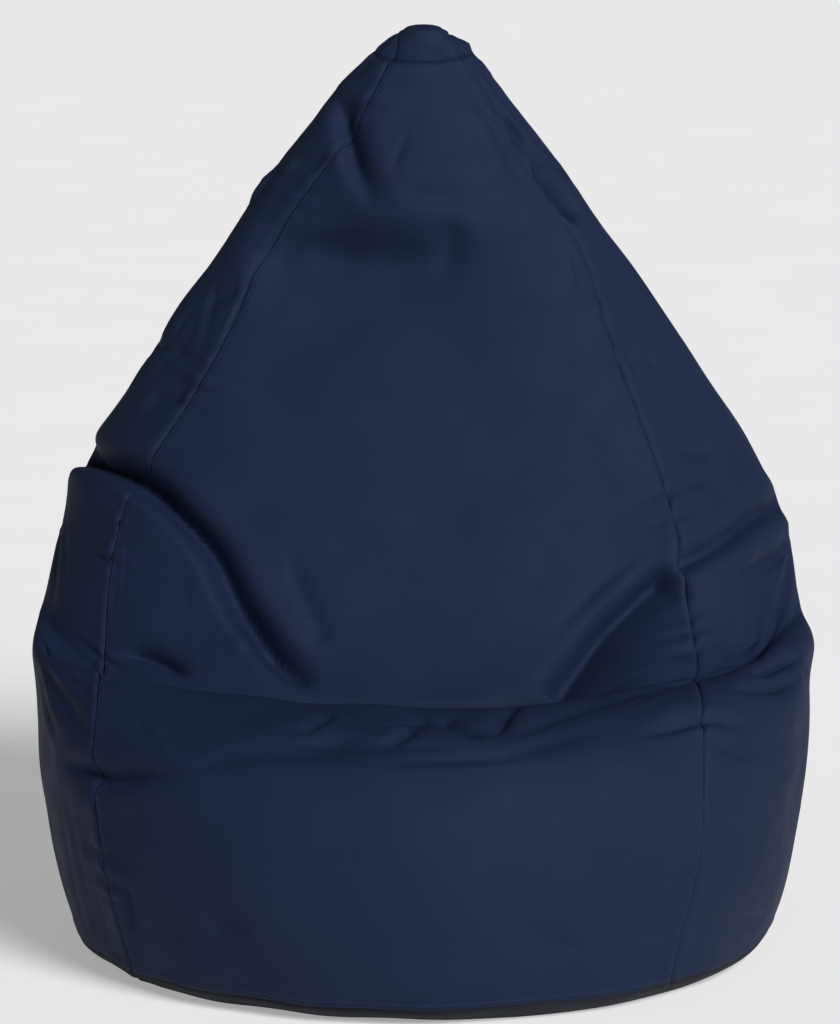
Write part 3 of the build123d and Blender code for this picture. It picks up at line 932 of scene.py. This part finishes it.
def settle(points, spans):
    """Fills the cover and lets its cloth gather: a short cloth simulation at half resolution."""
    coarse = points[::2, ::2]
    count = coarse.shape[0] * coarse.shape[1]
    bag = mesh_from("settling", *capped(coarse))
    seam_gap = np.minimum(*seam_distances(points, spans))[::2, ::2]
    loose = 1 - np.exp(-((seam_gap / 0.03) ** 2))
    for group_name, weights in (("pin", held_still(coarse, seam_gap)), ("slack", loose)):
        group = bag.vertex_groups.new(name=group_name)
        for i, weight in enumerate(weights.ravel()):
            if weight > 0.01:
                group.add([i], float(weight), "REPLACE")
        if group_name == "pin":
            group.add([count, count + 1], 1.0, "REPLACE")
    cloth = bag.modifiers.new("cloth", "CLOTH")
    for setting, value in CLOTH_SETTINGS.items():
        setattr(cloth.settings, setting, value)
    cloth.settings.effector_weights.gravity = 0
    cloth.collision_settings.use_collision = False
    cloth.point_cache.frame_start = 1
    cloth.point_cache.frame_end = SETTLE_FRAMES
    scene = bpy.context.scene
    for frame_number in range(1, SETTLE_FRAMES + 1):
        scene.frame_set(frame_number)
    settled = bag.evaluated_get(bpy.context.evaluated_depsgraph_get()).data
    places = np.empty(len(settled.vertices) * 3)
    settled.vertices.foreach_get("co", places)
    moved = places.reshape(-1, 3)[:count].reshape(coarse.shape) - coarse
    size = np.linalg.norm(moved, axis=2, keepdims=True)
    moved *= SETTLE_LIMIT * np.tanh(size / SETTLE_LIMIT) / np.maximum(size, 1e-9)
    mesh = bag.data
    bpy.data.objects.remove(bag)
    bpy.data.meshes.remove(mesh)
    scene.frame_set(1)
    full = np.zeros(points.shape)
    full[::2, ::2] = moved
    full[1:-1:2, ::2] = (moved[:-1] + moved[1:])[: full[1:-1:2, ::2].shape[0]] / 2
    if points.shape[0] % 2 == 0:
        full[-1, ::2] = moved[-1]
    full[:, 1::2] = (full[:, ::2] + np.roll(full[:, ::2], -1, axis=1)) / 2
    return points + full


UNEVEN_HEIGHT = 0.0009
UNEVEN_SIZE = 0.11
UNEVEN_SEED = 3
SUNK_OVER_ZIP = 0.0005


def build_cover():
    """(the bag's form after its folds, the same with its seams' relief)."""
    points = FORM
    for centre, radii, height in SWELLS:
        points = swell(points, OUT, centre, radii, height)
    for stroke in FOLDS:
        points = fold(points, OUT, stroke)
    points = settle(points, SPANS)
    points = points + OUT * (UNEVEN_HEIGHT * ripples(points, UNEVEN_SIZE, UNEVEN_SEED))[..., None]
    at_zip = zip_nearness(FORM, *FLAT_STRIP)
    points = points * (1 - at_zip) + FORM * at_zip
    # Over the liner's zip the cover doesn't sink in.
    sunk = np.minimum(((points - FORM) * OUT).sum(axis=-1, keepdims=True) + SUNK_OVER_ZIP, 0)
    points = points - OUT * sunk * liner_zip_nearness(FORM, *COVERED_STRIP)
    points[:BASE_ROWS, :, 2] = 0
    points[..., 2] = np.maximum(points[..., 2], 0)
    detailed = sewn(points, OUT, SPANS)
    at_zip = zip_nearness(FORM, *HEM_STRIP)
    detailed = detailed * (1 - at_zip) + (FORM + OUT * HEM_RISE) * at_zip
    detailed[:BASE_ROWS, :, 2] = 0
    return points, detailed


def row_at(height):
    """The grid row whose mean height is nearest to a height."""
    heights = FORM[BASE_ROWS:, :, 2].mean(axis=1)
    return BASE_ROWS + int(np.argmin(np.abs(heights - height)))


def hem_edge(heights, edge):
    """How far a zip's hems stand from the middle at some heights, in metres."""
    past = np.abs(heights - BACK_ARC_Z * MM) - ZIP_HALF_HEIGHT
    return edge * MM * np.clip(1 - past / 0.005, 0, 1)


def crossing_near(values, column):
    """The fractional column nearest to a given one where a closed row of values passes through 0."""
    after = np.roll(values, -1)
    found = np.flatnonzero((values > 0) != (after > 0))
    gap = np.abs((found - column + len(values) / 2) % len(values) - len(values) / 2)
    at = found[np.argmin(gap)]
    place = at + values[at] / (values[at] - after[at])
    return column + (place - column + len(values) / 2) % len(values) - len(values) / 2


def crossings(reach, edges, column):
    """crossing_near for every row, of a grid of distances beyond an edge given by row."""
    return np.array([crossing_near(row - edge, column) for row, edge in zip(reach, edges)])


def resampled(grid, first, last, count):
    """Each row of a closed grid, read at evenly shared places between two fractional columns."""
    places = first[:, None] + (last - first)[:, None] * np.linspace(0, 1, count)[None]
    low = np.floor(places).astype(int)
    share = (places - low)[..., None]
    rows = np.arange(len(grid))[:, None]
    columns = grid.shape[1]
    return grid[rows, low % columns] * (1 - share) + grid[rows, (low + 1) % columns] * share


def belongs(piece, body, slot, finish, *nodes):
    """Sets a new piece's material and body, and hides the CAD nodes that it stands for. The slot is not used.
    """
    piece.data.materials.append(finish)
    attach(piece, body)
    if nodes:
        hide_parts(*nodes)
    return piece


FORM, SPANS = bag_grid()
OUT = grid_normals(FORM)
low_row = row_at(BASE_SEAM_Z * MM)
high_row = row_at(CAP_SEAM_Z * MM)
core, cover = build_cover()
normals = smoothed(grid_normals(cover), 3)
# How much paler the cover is by its seams: rubbed wear and a painted highlight on the seam ridges.
wear_and_highlight = 0.4 * np.exp(-np.minimum(*seam_distances(cover, SPANS)) / 0.0025)
panel_rows = slice(low_row, high_row + 1)

panels = {}
back_column = SPANS["back_left_panel"][0]
hems = hem_edge(cover[:, back_column, 2], HEM_EDGE)
for name, (start, end) in SPANS.items():
    first = np.full(len(cover), float(start))
    last = np.full(len(cover), float(end))
    if name == "back_right_panel":
        last[panel_rows] = crossings(cover[panel_rows, :, 0], hems[panel_rows], back_column)
    if name == "back_left_panel":
        first[panel_rows] = crossings(cover[panel_rows, :, 0], -hems[panel_rows], back_column)
    count = end - start + 1
    outer = resampled(cover, first, last, count)[panel_rows]
    ways = unit(resampled(normals, first, last, count))[panel_rows]
    rubs_and_highlights = resampled(wear_and_highlight[..., None], first, last, count)[panel_rows, :, 0]
    panels[name] = (outer, ways)
    piece = cloth_shell(name + "_cloth", outer, ways, CLOTH, rubs_and_highlights)
    belongs(piece, "bag", "cover_fabric", cover_cloth, name)

for name, rows, slot, finish in (
    ("top_cap", slice(high_row, None), "cover_fabric", cover_cloth),
    ("base_panel", slice(low_row + 1), "base_fabric", base_cloth),
):
    piece = cloth_shell(name + "_cloth", cover[rows], normals[rows], CLOTH, around=True)
    belongs(piece, "bag", slot, finish, name)


# ---- the liner and the filling ----
CLEARANCE_STEPS = 5
LEAST_CLEARANCE = 0.001
TIP_SHRINK = 60
TIP_DROP = 1.6
TIP_FROM = 0.80
TIP_FADE = 0.05
LINER_ZIP_CLEAR_Z = 0.6
LINER_ZIP_FADE = 0.15
FILL_HOLLOW = 0.004
LUMP_HEIGHT = 0.0008
LUMP_SIZE = 0.02
LUMP_SEED = 21


def lined(depth):
    """The bag's folded form at a depth below the cover, clear of the cover where a fold is steep."""
    pressed = ((core - FORM) * OUT).sum(axis=-1)
    for _ in range(CLEARANCE_STEPS):
        pressed = np.min([pressed, np.roll(pressed, 1, axis=1), np.roll(pressed, -1, axis=1)], axis=0)
        pressed[1:-1] = np.min([pressed[1:-1], pressed[:-2], pressed[2:]], axis=0)
    pressed = np.minimum(pressed[..., None], LEAST_CLEARANCE) * (1 - liner_zip_nearness(FORM, *FLAT_STRIP))
    inside = FORM + OUT * (pressed - depth)
    middle = FORM.mean(axis=1, keepdims=True)
    shrunk = middle + (FORM - middle) * (1 - TIP_SHRINK * depth) - np.array([0, 0, TIP_DROP * depth])
    near_tip = np.clip((FORM[..., 2:] - TIP_FROM) / TIP_FADE, 0, 1)
    return inside * (1 - near_tip) + shrunk * near_tip


liner_form = lined(LINER_DEPTH)
turn = math.radians(LINER_ZIP_TURN)
offset = LINER_TURN_Y * MM * math.sin(turn)
reach = liner_form[..., 0] * math.cos(turn) + liner_form[..., 1] * math.sin(turn) - offset
edges = hem_edge(liner_form[:, back_column, 2], LINER_HEM_EDGE)
front = np.full(len(liner_form), float(MIDDLE_COLUMN))
round_again = liner_form.shape[1]


def back_split(edges):
    """The column of the liner's back edge by row: beside its zip, and the middle of the back above it."""
    heights = liner_form[:, back_column, 2]
    low = (np.arange(len(heights)) >= BASE_ROWS) & (heights < LINER_ZIP_CLEAR_Z)
    split = np.full(len(heights), float(back_column))
    split[low] = crossings(reach[low], edges[low], back_column)
    split[:BASE_ROWS] = split[BASE_ROWS]
    share = smoothstep((LINER_ZIP_CLEAR_Z - heights) / LINER_ZIP_FADE)
    return back_column + (split - back_column) * share


for name, first, last in (
    ("liner_right", front, back_split(edges)),
    ("liner_left", back_split(-edges), front + round_again),
):
    outer = resampled(liner_form, first, last, LINER_COLUMNS)
    ways = unit(resampled(OUT, first, last, LINER_COLUMNS))
    piece = cloth_shell(name + "_cloth", outer, ways, LINER_CLOTH)
    belongs(piece, "bag", "liner_fabric", liner_cloth, name)

fill_form = lined(FILL_DEPTH)
fill_form = fill_form - OUT * liner_zip_nearness(FORM, *FILL_STRIP) * FILL_HOLLOW
lumps = LUMP_HEIGHT * ripples(fill_form, LUMP_SIZE, LUMP_SEED)
fill_form = fill_form - OUT * np.abs(lumps)[..., None]
filling = mesh_from("bead_filling_body", *capped(fill_form))
belongs(filling, "bag", "beads", beads, "bead_filling")


# ---- the zips ----
def on_zip(x, radius, angles, turn):
    """Points in the row frame, in metres, from places in a zip's own frame, in millimetres and degrees."""
    angle = np.radians(angles)
    y = BACK_ARC_Y + radius * np.cos(angle)
    z = BACK_ARC_Z + radius * np.sin(angle)
    return turned_about_liner(np.stack([x * np.ones_like(angle), y, z], axis=-1) * MM, turn)


def tube_mesh(rings):
    """(vertices, faces) of a closed tube through rings of points, with flat ends."""
    count, sides = rings.shape[:2]
    faces = quads(count, sides, wrap=True).tolist()
    faces.append(list(range(sides))[::-1])
    faces.append([(count - 1) * sides + i for i in range(sides)])
    return rings.reshape(-1, 3), faces


def build_tape(name, side, radius, turn):
    """One woven tape, with a rounded cord along its inner edge."""
    section = [
        (TAPE_INNER, 0.35), (3.9, 0.62), (4.5, 0.62), (4.9, 0.4), (8.0, 0.4), (TAPE_EDGE - 0.3, 0.4),
        (TAPE_EDGE, 0.2),
    ]
    section += [(x, -rise) for x, rise in section[::-1]]
    angles = np.linspace(ZIP_BOTTOM, ZIP_TOP, 140)
    rings = [on_zip(side * x, radius + rise, angles, turn) for x, rise in section[:: -side]]
    x = np.tile([p[0] * MM for p in section[:: -side]], len(angles))
    along = np.repeat(np.radians(angles) * radius * MM, len(section))
    return mesh_from(name, *tube_mesh(np.stack(rings, axis=1)), np.stack([x, along], axis=-1))


def build_coil(name, side, radius, turn):
    """One row of a zip's chain, a spiral of nylon round a cord. Its turns pass between the other row's."""
    length = math.radians(ZIP_TOP - ZIP_BOTTOM - 2 * STOP_ANGLE) * radius
    turns = int(length / COIL_PITCH)
    steps = turns * 12 + 1
    share = np.linspace(0, 1, steps)
    phase = 2 * np.pi * turns * share + (np.pi if side > 0 else 0)
    angles = ZIP_BOTTOM + STOP_ANGLE + 0.06 + share * (ZIP_TOP - ZIP_BOTTOM - 2 * STOP_ANGLE - 0.12)
    rings = []
    for corner in np.linspace(0, 2 * np.pi, 6, endpoint=False):
        grow = COIL_WIRE * math.cos(corner)
        slide = math.degrees(COIL_WIRE * math.sin(corner) / radius)
        x = side * (COIL_MIDDLE + (COIL_HALF_WIDTH + grow) * np.cos(phase))
        rise = radius + (COIL_HALF_HEIGHT + grow) * np.sin(phase)
        rings.append(on_zip(x, rise, angles + slide, turn))
    vertices, faces = tube_mesh(np.stack(rings if side < 0 else rings[::-1], axis=1))
    core = []
    for corner in np.linspace(0, 2 * np.pi, 10, endpoint=False):
        x = side * (COIL_MIDDLE + CORE_HALF_WIDTH * math.cos(corner))
        core.append(on_zip(x, radius + CORE_HALF_HEIGHT * math.sin(corner), angles[::12], turn))
    core_vertices, core_faces = tube_mesh(np.stack(core if side < 0 else core[::-1], axis=1))
    faces += [[i + len(vertices) for i in face] for face in core_faces]
    return mesh_from(name, np.concatenate([vertices, core_vertices]), faces)


for prefix, radius, turned, tape, coil in (
    ("cover", COVER_ZIP_RADIUS, 0.0, tape_cloth, coil_nylon),
    ("liner", LINER_ZIP_RADIUS, LINER_ZIP_TURN, liner_tape, pale_nylon),
):
    for side, word in ((-1, "left"), (1, "right")):
        node = f"{prefix}_zip_tape_{word}"
        belongs(build_tape(node + "_woven", side, radius, turned), "bag", f"{prefix}_zip_tape", tape, node)
        node = f"{prefix}_zip_coil_{word}"
        belongs(build_coil(node + "_spiral", side, radius, turned), "bag", f"{prefix}_zip_coil", coil, node)

for prefix, finish, parts in (
    ("cover", painted_metal, ("top_stops", "bottom_stop", "slider", "pull")),
    ("liner", bare_metal, ("top_stops", "bottom_stop", "slider")),
):
    for part in parts:
        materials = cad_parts[f"{prefix}_zip_{part}"].data.materials
        materials.clear()
        materials.append(finish)


# ---- stitches ----
STITCH_PITCH = 0.0042
STITCH_LENGTH = 0.0032
STITCH_RADIUS = 0.00042
STITCH_SHAPE = [(-0.5, 0.0, -0.6), (-0.42, 0.7, -0.2), (0.0, 1.0, 0.35), (0.42, 0.7, -0.2), (0.5, 0.0, -0.6)]


def stitches(name, path, outs):
    """A row of raised stitches along a path that lies on cloth, with the ways out of the cloth."""
    knots = walked(path)
    places = np.arange(STITCH_PITCH, knots[-1] - STITCH_PITCH, STITCH_PITCH)
    vertices, faces = [], []
    for place in places:
        ends = [read_at(place + d, knots, path) for d in (-STITCH_LENGTH / 2, STITCH_LENGTH / 2)]
        way_out = unit(read_at(place, knots, outs))
        middle = (ends[0] + ends[1]) / 2
        along = ends[1] - ends[0]
        across = unit(np.cross(way_out, along))
        start = len(vertices)
        for share, girth, rise in STITCH_SHAPE:
            centre = middle + along * share + way_out * rise * STITCH_RADIUS
            if girth == 0:
                vertices.append(centre)
                continue
            for turn in np.linspace(0, 2 * np.pi, 6, endpoint=False):
                spoke = across * math.cos(turn) + way_out * math.sin(turn)
                vertices.append(centre + spoke * girth * STITCH_RADIUS)
        for i in range(6):
            j = (i + 1) % 6
            faces.append([start, start + 1 + j, start + 1 + i])
            for ring in (0, 1):
                a, b = start + 1 + 6 * ring, start + 7 + 6 * ring
                faces.append([a + i, a + j, b + j, b + i])
            faces.append([start + 19, start + 13 + i, start + 13 + j])
    return mesh_from(name, vertices, faces)


def beside(grid, outs, distance, from_last=False):
    """(path, ways out) along a panel's first or last column, at a distance from it over the cloth."""
    if from_last:
        grid, outs = grid[:, ::-1], outs[:, ::-1]
    path, ways = [], []
    for row, way in zip(grid, outs):
        knots = walked(row)
        path.append(read_at(distance, knots, row))
        ways.append(read_at(distance, knots, way))
    return np.array(path), unit(np.array(ways))


SEAM_STITCHES = {
    "front_left_topstitch": ("front_panel", 0.0045, False),
    "front_right_topstitch": ("front_panel", 0.0045, True),
    "back_right_topstitch": ("back_right_panel", 0.0045, False),
    "back_left_topstitch": ("back_left_panel", 0.0045, True),
    "zip_right_topstitch": ("back_right_panel", 0.0035, True),
    "zip_left_topstitch": ("back_left_panel", 0.0035, False),
}
for name, (panel, distance, from_last) in SEAM_STITCHES.items():
    path, ways = beside(*panels[panel], distance, from_last)
    belongs(stitches(name, path, ways), "bag", "cover_fabric", thread)
around = np.concatenate([cover[low_row + 2], cover[low_row + 2, :1]])
ways = np.concatenate([normals[low_row + 2], normals[low_row + 2, :1]])
belongs(stitches("base_topstitch", around, ways), "bag", "cover_fabric", thread)

# ---- the studio ----
CAMERA_AIM = Vector((-0.003, 0, 0.417))
CAMERA_ELEVATION = math.radians(9)
CAMERA_DISTANCE = 4.05
CAMERA_LENS = 147
FLOOR_REACH = 60
FLOOR_GLOW = 0.34
KEY_FROM = Vector((1.65, -2.35, 2.35))
KEY_AT = Vector((0, 0, 0.4))
KEY_STRENGTH = 3.4
KEY_SPREAD = math.radians(24)
HORIZON_GLOW = 0.92
ZENITH_GLOW = 0.09

corners = [(x * FLOOR_REACH, y * FLOOR_REACH, 0) for x, y in ((-1, -1), (1, -1), (1, 1), (-1, 1))]
floor = mesh_from("floor", corners, [(0, 1, 2, 3)])
paint = speckled_material("floor_paint", (0.68, 0.68, 0.68), (0.70, 0.70, 0.70), 3, 0.9, 0.1, 0.0)
shader = paint.node_tree.nodes["Principled BSDF"]
shader.inputs["Emission Color"].default_value = (1, 1, 1, 1)
shader.inputs["Emission Strength"].default_value = FLOOR_GLOW
floor.data.materials.append(paint)


def looking(name, data, place, way_back):
    """A camera or a light at a place, with its back to a way."""
    made = bpy.data.objects.new(name, data)
    made.location = place
    made.rotation_mode = "QUATERNION"
    made.rotation_quaternion = way_back.to_track_quat("Z", "Y")
    bpy.context.scene.collection.objects.link(made)
    return made


away = Vector((0, -math.cos(CAMERA_ELEVATION), math.sin(CAMERA_ELEVATION)))
camera = looking("camera", bpy.data.cameras.new("camera"), CAMERA_AIM + away * CAMERA_DISTANCE, away)
camera.data.lens = CAMERA_LENS
camera.data.clip_end = 200
bpy.context.scene.camera = camera

key = looking("key", bpy.data.lights.new("key", "SUN"), KEY_FROM, KEY_FROM - KEY_AT)
key.data.energy = KEY_STRENGTH
key.data.angle = KEY_SPREAD

# A dim sky that brightens to a white horizon.
world = bpy.data.worlds.new("studio")
bpy.context.scene.world = world
world.use_nodes = True
sky = world.node_tree
parts = sky.nodes.new("ShaderNodeSeparateXYZ")
sky.links.new(sky.nodes.new("ShaderNodeTexCoord").outputs["Generated"], parts.inputs[0])
glow = spread(sky, parts.outputs["Z"], 0.015, 0.08, HORIZON_GLOW, ZENITH_GLOW)
sky.nodes["Background"].inputs["Color"].default_value = (1, 1, 1, 1)
sky.links.new(glow, sky.nodes["Background"].inputs["Strength"])
bpy.context.scene.view_settings.view_transform = "Standard"
